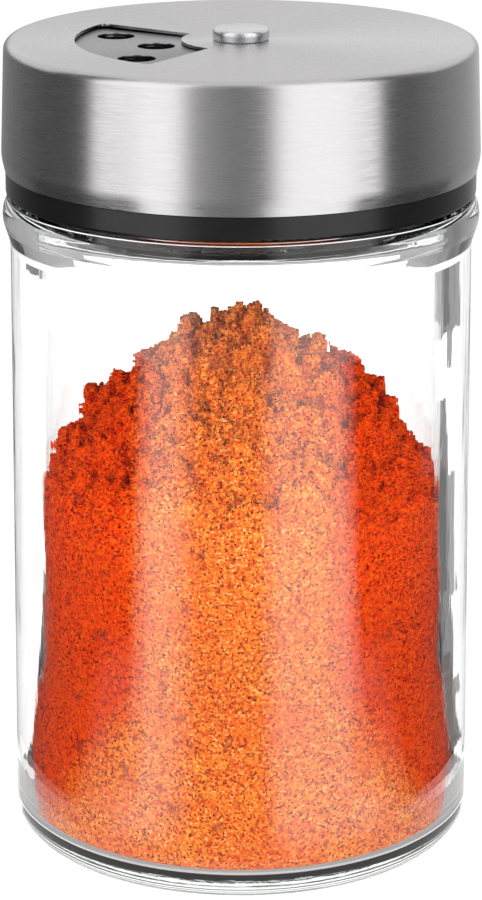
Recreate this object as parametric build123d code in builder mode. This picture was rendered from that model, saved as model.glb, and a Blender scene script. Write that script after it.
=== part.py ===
from build123d import *
import math
import os

# A glass spice jar with a dial shaker lid.
# Millimetres. +Z up. The origin is the centre of the base, on the surface that the jar stands on.
# -Y is the front. The window of the dial opens over the left of the lid, towards -X.

# Steel cap: one drawn sheet, plate and side together
LID_DIAMETER = 50.0         # across the cap's widest line, near its lower edge
CAP_SHEET = 0.3
CAP_DRAFT = 0.45            # how far the side leans in between the widest line and the top
CAP_EDGE_ROUND = 0.9        # outer radius where the plate turns into the side
CAP_DISH = 0.15             # the plate sinks this far from its edge to the rivet
CAP_CURL = 0.35             # how far the lower edge rolls in
CAP_CURL_HEIGHT = 2.2       # height of the rolled edge
CAP_CURL_ROUND = 4.0

# Window in the cap's plate: a part of a ring about the rivet
WINDOW_AZIMUTH = 193.0      # degrees from +X, to the middle of the window
WINDOW_SPAN = 90.0          # degrees
WINDOW_INNER_RADIUS = 6.2
WINDOW_MARGIN = 7.35        # from the window's outer arc to the side of the cap
WINDOW_CORNER = 0.9         # radius at the two outer corners

# Dial: four fields on the disc, one under the window at a time
FIELD_COUNT = 4
DIAL_OVERTURN = 1.8             # degrees: the cap is turned this far past the middle of the field it shows
POUR_HOLE_DIAMETER = 3.9
POUR_HOLE_INNER_PITCH = 8.9     # radius at which the single inner hole lies
POUR_HOLE_OUTER_PITCH = 13.7    # radius at which the two outer holes lie
POUR_HOLE_HALF_ANGLE = 28.5     # from the middle line to an outer hole
FINE_HOLE_DIAMETER = 1.5
FINE_HOLE_ROW_PITCH = 3.0       # between rows, and between holes in a row
FINE_HOLE_FIRST_ROW = 8.6       # radius of the first row
FINE_HOLE_ROWS = 3              # the first row has two holes, and each next row has one more
POUR_SLOT_RADIUS = 11.6         # radius of the slot's middle line
POUR_SLOT_WIDTH = 6.4
POUR_SLOT_SPAN = 44.0           # degrees between the centres of the slot's round ends
WEB_HOLE_MARGIN = 0.1           # the collar's openings are this much larger all round

# Disc and the collar's web below it
DISC_SHEET = 0.4
WEB_THICKNESS = 1.5
SEAT_RIM_WIDTH = 1.1        # raised rim of the collar round the disc
SEAT_CLEARANCE = 0.1        # between the disc's edge and that rim
SEAT_RIM_DROP = 0.05        # the rim stays this far below the disc's face
KEY_WIDTH = 2.4             # two lugs on the rim keep the disc from turning
KEY_DEPTH = 0.9
KEY_CLEARANCE = 0.1

# Collar: plastic inner lid
SKIRT_GAP = 0.55            # between the cap's side and the collar's skirt
SKIRT_WALL = 1.7
FLANGE_THICKNESS = 2.55
FLANGE_ROUND = 0.4
FLANGE_INSET = 0.05         # the flange's edge lies this far inside the cap's lower edge
DIAL_GAP = 0.1              # between the turning cap and what it turns on
FLANGE_LIFT = 0.3           # between the flange and the jar's shoulder

# Thread of the neck and the collar: one start, right-handed
THREAD_PITCH = 4.0
THREAD_TURNS = 1.25
THREAD_DEPTH = 1.0          # height of a ridge above its wall
THREAD_CLEARANCE = 0.35     # from a ridge's crest to the wall across from it
THREAD_ROOT_WIDTH = 1.8
THREAD_CREST_WIDTH = 0.8
THREAD_PLAY = 0.15          # along the axis, between the flanks that take the load
THREAD_START = 5.3          # the neck's ridge starts this far above the shoulder
THREAD_BITE = 0.1           # a ridge starts this far inside its wall, so that both are one

# Glass body
SHOULDER_HEIGHT = 70.2      # from the floor to the top of the shoulder
NECK_HEIGHT = 12.8
NECK_WALL = 2.6
NECK_ROOT_ROUND = 0.6
RIM_ROUND = 0.9
BEAD_DROP = 1.8             # the shoulder bead is widest this far below the top of the shoulder
BEAD_TAPER = 0.55           # at the top of the shoulder it is this much smaller in radius
BEAD_ROUND = 2.8
BEAD_ROUND_LOSS = 0.16      # the round takes this much off the bead's corner
SHOULDER_EDGE_ROUND = 0.3
BODY_STEP_HIGH = 0.8        # the body is this much smaller in radius than the bead, below the shoulder
BODY_STEP_LOW = 0.4         # and this much at the heel, because the body has a slight draft
STEP_HEIGHT = 3.0           # height of the slope between the bead's widest place and the body
STEP_ROUND = 3.0
GLASS_WALL = 2.95
FLOOR_THICKNESS = 2.4
FLOOR_CORNER = 1.4
THINNING = 0.9              # near the floor the wall is this much thinner
THINNING_TOP = 20.0         # it gets thinner from this height
THINNING_BOTTOM = 8.0       # down to this one
THINNING_ROUND = 60.0
INNER_SHOULDER_START = 2.3  # the inside begins to narrow this far below the top of the shoulder
INNER_SHOULDER_DROP = 1.9   # and narrows to the neck over this height
INNER_SHOULDER_ROUND = 1.2
HEEL_HEIGHT = 3.6           # the heel meets the body in a faint crease at this height
HEEL_WIDTH = 2.4
HEEL_FULLNESS = 0.7         # how far out the heel's middle lies, from 0.5 for flat to 1 for square
BEARING_WIDTH = 2.7         # flat ring that the jar stands on
PUSH_UP = 0.8               # depth of the hollow under the base
PUSH_UP_SLOPE = 3.0

# Seal, rivet and washers
SEAL_THICKNESS = 1.0
SEAL_OVERHANG = 0.4         # the seal reaches this far inside the jar's mouth
SEAL_CLEARANCE = 0.25       # between the seal's edge and the collar's wall
KNOB_RADIUS = 2.95
KNOB_HEIGHT = 1.25
KNOB_TOP_ROUND = 0.45
KNOB_FOOT_ROUND = 0.25
KNOB_SEAT_MARGIN = 0.6      # flat middle of the plate, round the knob
SHANK_RADIUS = 1.75
RUNNING_CLEARANCE = 0.05    # of the shank in the disc, the web and the washers
SPRING_RADIUS = 3.9
SPRING_SHEET = 0.25
SPRING_DISH = 0.25
WASHER_RADIUS = 3.6
WASHER_SHEET = 0.4
TAIL_RADIUS = 2.6
TAIL_HEIGHT = 0.7
TAIL_ROUND = 0.25

# Contents
POWDER_GAP = 0.1            # between the powder and the glass
POWDER_PEAK = 57.6          # height of the heap's top above the floor
POWDER_EDGE = 41.0          # height at which the heap meets the wall
POWDER_FULLNESS = 0.55      # where the heap's middle point lies, out from the axis
POWDER_SHOULDER = 51.6      # height of that point

# Heights, from the floor up
neck_top = SHOULDER_HEIGHT + NECK_HEIGHT
web_bottom = neck_top + SEAL_THICKNESS
web_top = web_bottom + WEB_THICKNESS
disc_top = web_top + DISC_SHEET
plate_bottom = disc_top + DIAL_GAP
plate_top = plate_bottom + CAP_SHEET
plate_edge = plate_top + CAP_DISH
knob_top = plate_top + KNOB_HEIGHT
flange_bottom = SHOULDER_HEIGHT + FLANGE_LIFT
flange_top = flange_bottom + FLANGE_THICKNESS
cap_bottom = flange_top + DIAL_GAP
cap_widest = cap_bottom + CAP_CURL_HEIGHT
spring_bottom = web_bottom - SPRING_DISH - SPRING_SHEET
washer_bottom = spring_bottom - WASHER_SHEET
tail_bottom = washer_bottom - TAIL_HEIGHT
bead_middle = SHOULDER_HEIGHT - BEAD_DROP
body_top = bead_middle - STEP_HEIGHT
inner_shoulder_bottom = SHOULDER_HEIGHT - INNER_SHOULDER_START
inner_shoulder_top = inner_shoulder_bottom + INNER_SHOULDER_DROP

# Radii, from the cap inwards
cap_radius = LID_DIAMETER / 2
cap_top_radius = cap_radius - CAP_DRAFT
flange_radius = cap_radius - CAP_CURL - FLANGE_INSET
skirt_radius = cap_top_radius - CAP_SHEET - SKIRT_GAP
collar_bore = skirt_radius - SKIRT_WALL
neck_radius = collar_bore - THREAD_DEPTH - THREAD_CLEARANCE
mouth_radius = neck_radius - NECK_WALL
disc_seat_radius = skirt_radius - SEAT_RIM_WIDTH
disc_radius = disc_seat_radius - SEAT_CLEARANCE
window_outer_radius = cap_top_radius - WINDOW_MARGIN
knob_seat_radius = KNOB_RADIUS + KNOB_SEAT_MARGIN
shank_hole_radius = SHANK_RADIUS + RUNNING_CLEARANCE
bead_radius = cap_radius
body_radius_high = bead_radius - BODY_STEP_HIGH
body_radius_low = bead_radius - BODY_STEP_LOW
bead_corner = (bead_radius + BEAD_ROUND_LOSS, bead_middle)

field_angle = 360 / FIELD_COUNT
pour_azimuth = WINDOW_AZIMUTH - DIAL_OVERTURN
fine_azimuth = pour_azimuth + field_angle
slot_azimuth = pour_azimuth - field_angle


def polar_point(radius, azimuth):
    """A point of the XY plane at a radius and an azimuth in degrees."""
    return (radius * math.cos(math.radians(azimuth)), radius * math.sin(math.radians(azimuth)))


def round_corner(sketch, point, radius):
    """Round the corner of a profile that lies nearest to a point."""
    fillet(sketch.vertices().sort_by_distance(point)[0], radius)


def ring_sector(inner, outer, azimuth, span):
    """Draw a part of a ring, centred on an azimuth, in the open sketch."""
    start = azimuth - span / 2
    with BuildLine() as border:
        inner_arc = CenterArc((0, 0), inner, start, span)
        outer_arc = CenterArc((0, 0), outer, start, span)
        Line(inner_arc @ 0, outer_arc @ 0)
        Line(inner_arc @ 1, outer_arc @ 1)
    make_face(border.edges())


def pour_hole_centres():
    """Centres of the three pouring holes: one inner hole and two outer ones."""
    return [
        polar_point(POUR_HOLE_INNER_PITCH, pour_azimuth),
        polar_point(POUR_HOLE_OUTER_PITCH, pour_azimuth - POUR_HOLE_HALF_ANGLE),
        polar_point(POUR_HOLE_OUTER_PITCH, pour_azimuth + POUR_HOLE_HALF_ANGLE),
    ]


def fine_hole_centres():
    """Centres of the fine holes, in rows along arcs about the rivet."""
    centres = []
    for row in range(FINE_HOLE_ROWS):
        radius = FINE_HOLE_FIRST_ROW + row * FINE_HOLE_ROW_PITCH
        step = math.degrees(FINE_HOLE_ROW_PITCH / radius)
        count = row + 2
        for place in range(count):
            centres.append(polar_point(radius, fine_azimuth + (place - (count - 1) / 2) * step))
    return centres


def dial_openings(margin):
    """Draw the openings of all fields in the open sketch, each larger by a margin all round."""
    with Locations(*pour_hole_centres()):
        Circle(POUR_HOLE_DIAMETER / 2 + margin)
    with Locations(*fine_hole_centres()):
        Circle(FINE_HOLE_DIAMETER / 2 + margin)
    with BuildLine():
        slot_middle = CenterArc((0, 0), POUR_SLOT_RADIUS, slot_azimuth - POUR_SLOT_SPAN / 2, POUR_SLOT_SPAN)
    SlotArc(slot_middle, POUR_SLOT_WIDTH + 2 * margin)


def thread_ridge(wall_radius, middle, outward):
    """Sweep one ridge of the thread along its helix, standing outward or inward from a wall."""
    side = 1 if outward else -1
    foot = wall_radius - side * THREAD_BITE
    crest = wall_radius + side * THREAD_DEPTH
    with BuildLine() as helix:
        Helix(THREAD_PITCH, THREAD_PITCH * THREAD_TURNS, wall_radius, center=(0, 0, middle))
    with BuildSketch(Plane.XZ) as ridge:
        with BuildLine():
            Polyline(
                (foot, middle - THREAD_ROOT_WIDTH / 2),
                (crest, middle - THREAD_CREST_WIDTH / 2),
                (crest, middle + THREAD_CREST_WIDTH / 2),
                (foot, middle + THREAD_ROOT_WIDTH / 2),
                close=True,
            )
        make_face()
    sweep(ridge.sketch, path=helix.line, is_frenet=True)


def inner_wall_radius(height):
    """Radius of the glass body's inside at a height, between its floor and its shoulder."""
    draft_share = (height - HEEL_HEIGHT) / (body_top - HEEL_HEIGHT)
    outer_radius = body_radius_low + draft_share * (body_radius_high - body_radius_low)
    thinning_share = (THINNING_TOP - height) / (THINNING_TOP - THINNING_BOTTOM)
    return outer_radius - GLASS_WALL + THINNING * min(max(thinning_share, 0), 1)


# Glass jar: body, shoulder bead and threaded neck, all one piece of glass
heel_radius = body_radius_low - HEEL_WIDTH
bearing_radius = heel_radius - BEARING_WIDTH
shoulder_edge = (bead_radius - BEAD_TAPER, SHOULDER_HEIGHT)

with BuildPart() as glass_jar:
    with BuildSketch(Plane.XZ) as jar_profile:
        with BuildLine():
            heel = ThreePointArc(
                (heel_radius, 0),
                (heel_radius + HEEL_FULLNESS * HEEL_WIDTH, (1 - HEEL_FULLNESS) * HEEL_HEIGHT),
                (body_radius_low, HEEL_HEIGHT),
            )
            Polyline(
                heel @ 1,
                (body_radius_high, body_top),
                bead_corner,
                shoulder_edge,
                (neck_radius, SHOULDER_HEIGHT),
                (neck_radius, neck_top),
                (mouth_radius, neck_top),
                (mouth_radius, inner_shoulder_top),
                (inner_wall_radius(inner_shoulder_bottom), inner_shoulder_bottom),
                (inner_wall_radius(THINNING_TOP), THINNING_TOP),
                (inner_wall_radius(THINNING_BOTTOM), THINNING_BOTTOM),
                (inner_wall_radius(FLOOR_THICKNESS), FLOOR_THICKNESS),
                (0, FLOOR_THICKNESS),
                (0, PUSH_UP),
                (bearing_radius - PUSH_UP_SLOPE, PUSH_UP),
                (bearing_radius, 0),
                heel @ 0,
            )
        make_face()
        round_corner(jar_profile, (body_radius_high, body_top), STEP_ROUND)
        round_corner(jar_profile, bead_corner, BEAD_ROUND)
        round_corner(jar_profile, shoulder_edge, SHOULDER_EDGE_ROUND)
        round_corner(jar_profile, (neck_radius, SHOULDER_HEIGHT), NECK_ROOT_ROUND)
        round_corner(jar_profile, (neck_radius, neck_top), RIM_ROUND)
        round_corner(jar_profile, (mouth_radius, neck_top), RIM_ROUND)
        round_corner(jar_profile, (mouth_radius, inner_shoulder_top), INNER_SHOULDER_ROUND)
        round_corner(
            jar_profile,
            (inner_wall_radius(inner_shoulder_bottom), inner_shoulder_bottom),
            INNER_SHOULDER_ROUND,
        )
        for height in (THINNING_TOP, THINNING_BOTTOM):
            round_corner(jar_profile, (inner_wall_radius(height), height), THINNING_ROUND)
        round_corner(jar_profile, (inner_wall_radius(FLOOR_THICKNESS), FLOOR_THICKNESS), FLOOR_CORNER)
        round_corner(jar_profile, (bearing_radius - PUSH_UP_SLOPE, PUSH_UP), PUSH_UP_SLOPE)
    revolve(axis=Axis.Z)
    neck_thread_start = SHOULDER_HEIGHT + THREAD_START
    thread_ridge(neck_radius, neck_thread_start, outward=True)

# Powder: a heap that fills the body and rises to a blunt peak
powder_bottom = FLOOR_THICKNESS + POWDER_GAP

with BuildPart() as spice_powder:
    with BuildSketch(Plane.XZ) as heap_profile:
        with BuildLine():
            heap_edge = (inner_wall_radius(POWDER_EDGE) - POWDER_GAP, POWDER_EDGE)
            heap_foot = (inner_wall_radius(powder_bottom) - POWDER_GAP, powder_bottom)
            slope = ThreePointArc(
                (0, POWDER_PEAK),
                (POWDER_FULLNESS * heap_edge[0], POWDER_SHOULDER),
                heap_edge,
            )
            Polyline(
                slope @ 1,
                (inner_wall_radius(THINNING_TOP) - POWDER_GAP, THINNING_TOP),
                (inner_wall_radius(THINNING_BOTTOM) - POWDER_GAP, THINNING_BOTTOM),
                heap_foot,
                (0, powder_bottom),
                slope @ 0,
            )
        make_face()
        for height in (THINNING_TOP, THINNING_BOTTOM):
            round_corner(heap_profile, (inner_wall_radius(height) - POWDER_GAP, height), THINNING_ROUND)
        round_corner(heap_profile, heap_foot, FLOOR_CORNER)
    revolve(axis=Axis.Z)

# Sealing ring: lies on the jar's rim, under the collar's web
with BuildPart() as seal_ring:
    with BuildSketch(Plane.XY.offset(neck_top)):
        Circle(collar_bore - SEAL_CLEARANCE)
        Circle(mouth_radius - SEAL_OVERHANG, mode=Mode.SUBTRACT)
    extrude(amount=SEAL_THICKNESS)

# Collar: flange below the cap, threaded skirt inside it, and the web that carries the disc
seat_rim_top = disc_top - SEAT_RIM_DROP

with BuildPart() as threaded_collar:
    with BuildSketch(Plane.XZ) as collar_profile:
        with BuildLine():
            Polyline(
                (collar_bore, flange_bottom),
                (flange_radius, flange_bottom),
                (flange_radius, flange_top),
                (skirt_radius, flange_top),
                (skirt_radius, seat_rim_top),
                (disc_seat_radius, seat_rim_top),
                (disc_seat_radius, web_top),
                (shank_hole_radius, web_top),
                (shank_hole_radius, web_bottom),
                (collar_bore, web_bottom),
                close=True,
            )
        make_face()
        round_corner(collar_profile, (flange_radius, flange_bottom), FLANGE_ROUND)
    revolve(axis=Axis.Z)
    with BuildSketch(Plane.XY.offset(web_top)):
        with PolarLocations(disc_seat_radius - KEY_DEPTH / 2, 2):
            Rectangle(KEY_DEPTH + SEAT_RIM_WIDTH / 2, KEY_WIDTH)
    extrude(amount=seat_rim_top - web_top)
    with BuildSketch(Plane.XY.offset(web_top)):
        dial_openings(WEB_HOLE_MARGIN)
    extrude(amount=-WEB_THICKNESS, mode=Mode.SUBTRACT)
    load_flank_offset = (THREAD_ROOT_WIDTH + THREAD_CREST_WIDTH) / 2 + THREAD_PLAY
    thread_ridge(collar_bore, neck_thread_start - load_flank_offset, outward=False)

# Shaker disc: lies on the web inside the rim, and has one field of openings for each place of the dial
with BuildPart() as shaker_disc:
    with BuildSketch(Plane.XY.offset(web_top)):
        Circle(disc_radius)
        Circle(shank_hole_radius, mode=Mode.SUBTRACT)
        with PolarLocations(disc_radius, 2):
            notch_depth = 2 * (KEY_DEPTH + KEY_CLEARANCE + SEAT_CLEARANCE)
            Rectangle(notch_depth, KEY_WIDTH + 2 * KEY_CLEARANCE, mode=Mode.SUBTRACT)
    extrude(amount=DISC_SHEET)
    with BuildSketch(Plane.XY.offset(web_top)):
        dial_openings(0)
    extrude(amount=DISC_SHEET, mode=Mode.SUBTRACT)

# Cap: drawn shell with a dished plate, a slight draft and a lower edge rolled in


def cap_outline(inset):
    """Half section of the cap as a filled outline, with its top and side moved in by an inset."""
    side_top = cap_top_radius - inset
    side_widest = cap_radius - inset
    top_corner = (side_top, plate_edge - inset)
    with BuildSketch(Plane.XZ) as outline:
        with BuildLine():
            Polyline(
                (0, plate_top - inset),
                (knob_seat_radius, plate_top - inset),
                top_corner,
                (side_widest, cap_widest),
                (side_widest - CAP_CURL, cap_bottom),
                (0, cap_bottom),
                close=True,
            )
        make_face()
        round_corner(outline, top_corner, CAP_EDGE_ROUND - inset)
        round_corner(outline, (side_widest, cap_widest), CAP_CURL_ROUND)
    return outline.sketch


with BuildPart() as cap_shell:
    revolve(cap_outline(0), axis=Axis.Z)
    revolve(cap_outline(CAP_SHEET), axis=Axis.Z, mode=Mode.SUBTRACT)
    with BuildSketch(Plane.XY.offset(plate_bottom)) as window:
        ring_sector(WINDOW_INNER_RADIUS, window_outer_radius, WINDOW_AZIMUTH, WINDOW_SPAN)
        for side in (-1, 1):
            corner = polar_point(window_outer_radius, WINDOW_AZIMUTH + side * WINDOW_SPAN / 2)
            round_corner(window, corner, WINDOW_CORNER)
    extrude(amount=plate_edge - plate_bottom, mode=Mode.SUBTRACT)
    with BuildSketch(Plane.XY.offset(plate_bottom)):
        Circle(SHANK_RADIUS)
    extrude(amount=CAP_SHEET, mode=Mode.SUBTRACT)

# Rivet: the knob on the cap, the shank through the lid, and the tail spread under the washers
with BuildPart() as pivot_knob:
    with BuildSketch(Plane.XZ) as rivet_profile:
        with BuildLine():
            Polyline(
                (0, knob_top),
                (KNOB_RADIUS, knob_top),
                (KNOB_RADIUS, plate_top),
                (SHANK_RADIUS, plate_top),
                (SHANK_RADIUS, washer_bottom),
                (TAIL_RADIUS, washer_bottom),
                (TAIL_RADIUS, tail_bottom),
                (0, tail_bottom),
                close=True,
            )
        make_face()
        round_corner(rivet_profile, (KNOB_RADIUS, knob_top), KNOB_TOP_ROUND)
        round_corner(rivet_profile, (KNOB_RADIUS, plate_top), KNOB_FOOT_ROUND)
        round_corner(rivet_profile, (TAIL_RADIUS, tail_bottom), TAIL_ROUND)
    revolve(axis=Axis.Z)

# Spring washer: a dished ring whose outer edge presses on the web
with BuildPart() as spring_washer:
    with BuildSketch(Plane.XZ):
        with BuildLine():
            Polyline(
                (SPRING_RADIUS, web_bottom),
                (SPRING_RADIUS, web_bottom - SPRING_SHEET),
                (shank_hole_radius, spring_bottom),
                (shank_hole_radius, spring_bottom + SPRING_SHEET),
                close=True,
            )
        make_face()
    revolve(axis=Axis.Z)

# Retaining washer: flat, between the spring and the rivet's tail
with BuildPart() as retaining_washer:
    with BuildSketch(Plane.XY.offset(washer_bottom)):
        Circle(WASHER_RADIUS)
        Circle(shank_hole_radius, mode=Mode.SUBTRACT)
    extrude(amount=WASHER_SHEET)

pieces = {
    "glass_jar": glass_jar,
    "spice_powder": spice_powder,
    "seal_ring": seal_ring,
    "threaded_collar": threaded_collar,
    "shaker_disc": shaker_disc,
    "cap_shell": cap_shell,
    "pivot_knob": pivot_knob,
    "spring_washer": spring_washer,
    "retaining_washer": retaining_washer,
}

os.makedirs("parts", exist_ok=True)
for name, piece in pieces.items():
    piece.part.label = name
    export_step(piece.part, f"parts/{name}.step")
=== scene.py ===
# %% [markdown]
# # A glass spice jar with a dial lid
# This lesson dresses a finished engineering model of a spice jar: a thick pressed glass body, a heap of
# orange-red ground spice, and a steel cap with a window that turns over a disc of pouring holes.
# The engineering model is loaded first. It says where everything lies, and nothing in it is moved.
# Pieces that need softer edges or a richer surface are then modelled anew in the same place.

# %% Load the frame
import math
import random
import bpy
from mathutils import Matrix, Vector


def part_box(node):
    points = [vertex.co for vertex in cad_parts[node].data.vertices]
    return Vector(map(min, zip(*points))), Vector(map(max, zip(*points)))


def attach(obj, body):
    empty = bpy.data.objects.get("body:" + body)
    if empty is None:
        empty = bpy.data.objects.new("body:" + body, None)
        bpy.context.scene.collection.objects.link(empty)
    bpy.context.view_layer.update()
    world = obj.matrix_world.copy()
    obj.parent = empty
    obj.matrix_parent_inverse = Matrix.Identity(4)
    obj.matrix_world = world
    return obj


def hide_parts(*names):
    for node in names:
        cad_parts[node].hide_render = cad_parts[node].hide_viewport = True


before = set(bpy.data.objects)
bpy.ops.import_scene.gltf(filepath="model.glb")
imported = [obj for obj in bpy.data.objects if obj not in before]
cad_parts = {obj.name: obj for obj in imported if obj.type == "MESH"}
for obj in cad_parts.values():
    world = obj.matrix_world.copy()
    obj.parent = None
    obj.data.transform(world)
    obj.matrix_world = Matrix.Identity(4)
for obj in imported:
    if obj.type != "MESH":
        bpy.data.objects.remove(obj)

bpy.context.view_layer.update()

# %% [markdown]
# ## Sizes
# Blender works in metres, and a jar is easier to think of in millimetres, so MM turns one into the other.
# The main heights and radii are read from the frame. What the frame can't say, such as the wall of the
# glass under the collar, is named once, in the cell of the piece that it belongs to.

# %% Read the main sizes from the frame
MM = 0.001

jar_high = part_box("glass_jar")[1]
heap_low, heap_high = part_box("spice_powder")
cap_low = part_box("cap_shell")[0]
knob_low, knob_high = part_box("pivot_knob")

knob_radius = knob_high.x
print("Jar", round(2 * jar_high.x / MM, 2), "mm across, neck up to", round(jar_high.z / MM, 2), "mm")

# %% [markdown]
# ## Drawing half sections
# Glass jars, drawn steel caps and rivets are all round, and each is known by its half section. By hand one
# would add a plane, merge it to a single point, and extrude that point along the section, corner by corner.
# Rounded corners come from a vertex bevel: its offset is the radius times the tangent of half the turn.
# A spin about the upright axis then makes the body. The helpers below do just that.

# %% Helpers for half sections
ROUND_STEPS = 6         # segments in each rounded corner
SPIN_STEPS = 180        # segments in a full turn
MERGE = 0.001 * MM      # points nearer than this are one point


def leave_edit_mode():
    """Go back to object mode with nothing selected."""
    if bpy.context.object and bpy.context.object.mode != "OBJECT":
        bpy.ops.object.mode_set(mode="OBJECT")
    bpy.ops.object.select_all(action="DESELECT")


def edit(piece):
    """Open one piece in edit mode, with all of it selected."""
    leave_edit_mode()
    piece.select_set(True)
    bpy.context.view_layer.objects.active = piece
    bpy.ops.object.mode_set(mode="EDIT")
    bpy.ops.mesh.select_all(action="SELECT")


def select_where(piece, kind, rule):
    """In edit mode, select only the points, edges or faces of a piece for which a rule is true."""
    bpy.ops.mesh.select_mode(type=kind)
    bpy.ops.mesh.select_all(action="DESELECT")
    bpy.ops.object.mode_set(mode="OBJECT")
    parts = {"VERT": piece.data.vertices, "EDGE": piece.data.edges, "FACE": piece.data.polygons}[kind]
    for part in parts:
        part.select = bool(rule(part))
    bpy.ops.object.mode_set(mode="EDIT")


def select_point(piece, place):
    """In edit mode, select only the point that lies nearest to a place."""
    nearest = min(piece.data.vertices, key=lambda point: (point.co - place).length).index
    select_where(piece, "VERT", lambda point: point.index == nearest)


def draw_section(name, corners, closed=False):
    """Draw a half section in the XZ plane from (radius, height, rounding) corners."""
    leave_edit_mode()
    bpy.ops.mesh.primitive_plane_add(size=MM)
    piece = bpy.context.object
    piece.name = piece.data.name = name
    places = [Vector((radius, 0, height)) for radius, height, rounding in corners]
    bpy.ops.object.mode_set(mode="EDIT")
    bpy.ops.mesh.select_mode(type="VERT")
    bpy.ops.mesh.select_all(action="SELECT")
    bpy.ops.mesh.merge(type="CENTER")
    bpy.ops.transform.translate(value=places[0])
    path = places + places[:1] if closed else places
    for here, there in zip(path, path[1:]):
        bpy.ops.mesh.extrude_region_move(TRANSFORM_OT_translate={"value": there - here})
    bpy.ops.mesh.select_all(action="SELECT")
    bpy.ops.mesh.remove_doubles(threshold=MERGE)
    for index, (radius, height, rounding) in enumerate(corners):
        if not rounding:
            continue
        into = places[index] - places[index - 1]
        out = places[(index + 1) % len(places)] - places[index]
        bpy.ops.object.mode_set(mode="OBJECT")
        bpy.ops.object.mode_set(mode="EDIT")
        select_point(piece, places[index])
        offset = rounding * math.tan(into.angle(out) / 2)
        bpy.ops.mesh.bevel(affect="VERTICES", offset=offset, segments=ROUND_STEPS)
    return piece


def spin_section(piece, steps=SPIN_STEPS):
    """Turn the half section once about the upright axis and close its seam."""
    bpy.ops.mesh.select_all(action="SELECT")
    bpy.ops.mesh.spin(steps=steps, angle=math.tau, center=(0, 0, 0), axis=(0, 0, -1))
    bpy.ops.mesh.select_all(action="SELECT")
    bpy.ops.mesh.remove_doubles(threshold=MERGE)
    bpy.ops.mesh.normals_make_consistent(inside=False)
    bpy.ops.object.mode_set(mode="OBJECT")


def apply_modifier(piece, kind, **settings):
    """Add a modifier with its settings and apply it at once."""
    bpy.context.view_layer.objects.active = piece
    modifier = piece.modifiers.new(kind.title(), kind)
    for name, value in settings.items():
        setattr(modifier, name, value)
    bpy.ops.object.modifier_apply(modifier=modifier.name)


def smooth(piece, crease_angle=30):
    """Shade smooth, but keep creases, and let the large faces set the shading beside rounded edges."""
    leave_edit_mode()
    piece.select_set(True)
    bpy.context.view_layer.objects.active = piece
    bpy.ops.object.shade_smooth_by_angle(angle=math.radians(crease_angle))
    apply_modifier(piece, "WEIGHTED_NORMAL", keep_sharp=True, weight=100)
    print(piece.name, "has", len(piece.data.polygons), "faces")


# %% [markdown]
# ## The glass jar
# The real jar is pressed soda-lime glass. Its wall is almost 3 mm thick, the base is hollowed a little so
# that it stands on a ring, and a round bead at the shoulder is as wide as the lid. Light bends at both
# faces of the wall, so the inside has to be modelled as truly as the outside: one closed section, floor,
# wall and neck, is drawn and spun. The neck's thread is a short ridge that winds up around it.

# %% Draw and spin the glass
LID_RADIUS = 25 * MM            # the shoulder bead is as wide as the lid
NECK_HEIGHT = 12.8 * MM
GLASS_WALL = 2.95 * MM
FLOOR_THICKNESS = 2.4 * MM
THINNING = 0.9 * MM             # the wall gets this much thinner towards the floor
THINNING_TOP = 20 * MM
THINNING_BOTTOM = 8 * MM
THINNING_ROUND = 60 * MM
BODY_TOP = 65.4 * MM            # where the side turns out into the shoulder bead
BODY_RADIUS_HIGH = 24.2 * MM    # the body has a slight draft, and is narrower at its top
BODY_RADIUS_LOW = 24.6 * MM
BASE_HOLLOW = 0.8 * MM
BASE_HOLLOW_RADIUS = 16.5 * MM
STAND_INNER = 19.5 * MM         # the jar stands on a ring between these two radii
STAND_OUTER = 22.2 * MM
HEEL_HEIGHT = 3.6 * MM
HEEL_CORNER_RADIUS = 24.99 * MM     # the heel's corner before it is rounded
HEEL_CORNER_HEIGHT = 0.737 * MM
HEEL_ROUND = 3.27 * MM
BEAD_BULGE = 0.16 * MM          # the bead's corner before it is rounded, outside the lid's radius
BEAD_DROP = 1.8 * MM            # and below the shoulder
BEAD_ROUND = 2.8 * MM
BEAD_INSET = 0.55 * MM          # the bead's top lies this far inside the lid's radius
NECK_RADIUS = 20.65 * MM
MOUTH_RADIUS = 18.05 * MM
RIM_ROUND = 0.9 * MM
INNER_SHOULDER_LOW = 67.9 * MM
INNER_SHOULDER_HIGH = 69.8 * MM
INNER_SHOULDER_ROUND = 1.2 * MM
FLOOR_ROUND = 1.4 * MM

shoulder = jar_high.z - NECK_HEIGHT


def glass_inside(height):
    """Radius of the inside of the glass body at a height."""
    draft_share = (height - HEEL_HEIGHT) / (BODY_TOP - HEEL_HEIGHT)
    outer_radius = BODY_RADIUS_LOW + draft_share * (BODY_RADIUS_HIGH - BODY_RADIUS_LOW)
    thinning_share = (THINNING_TOP - height) / (THINNING_TOP - THINNING_BOTTOM)
    return outer_radius - GLASS_WALL + THINNING * min(max(thinning_share, 0), 1)


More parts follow.
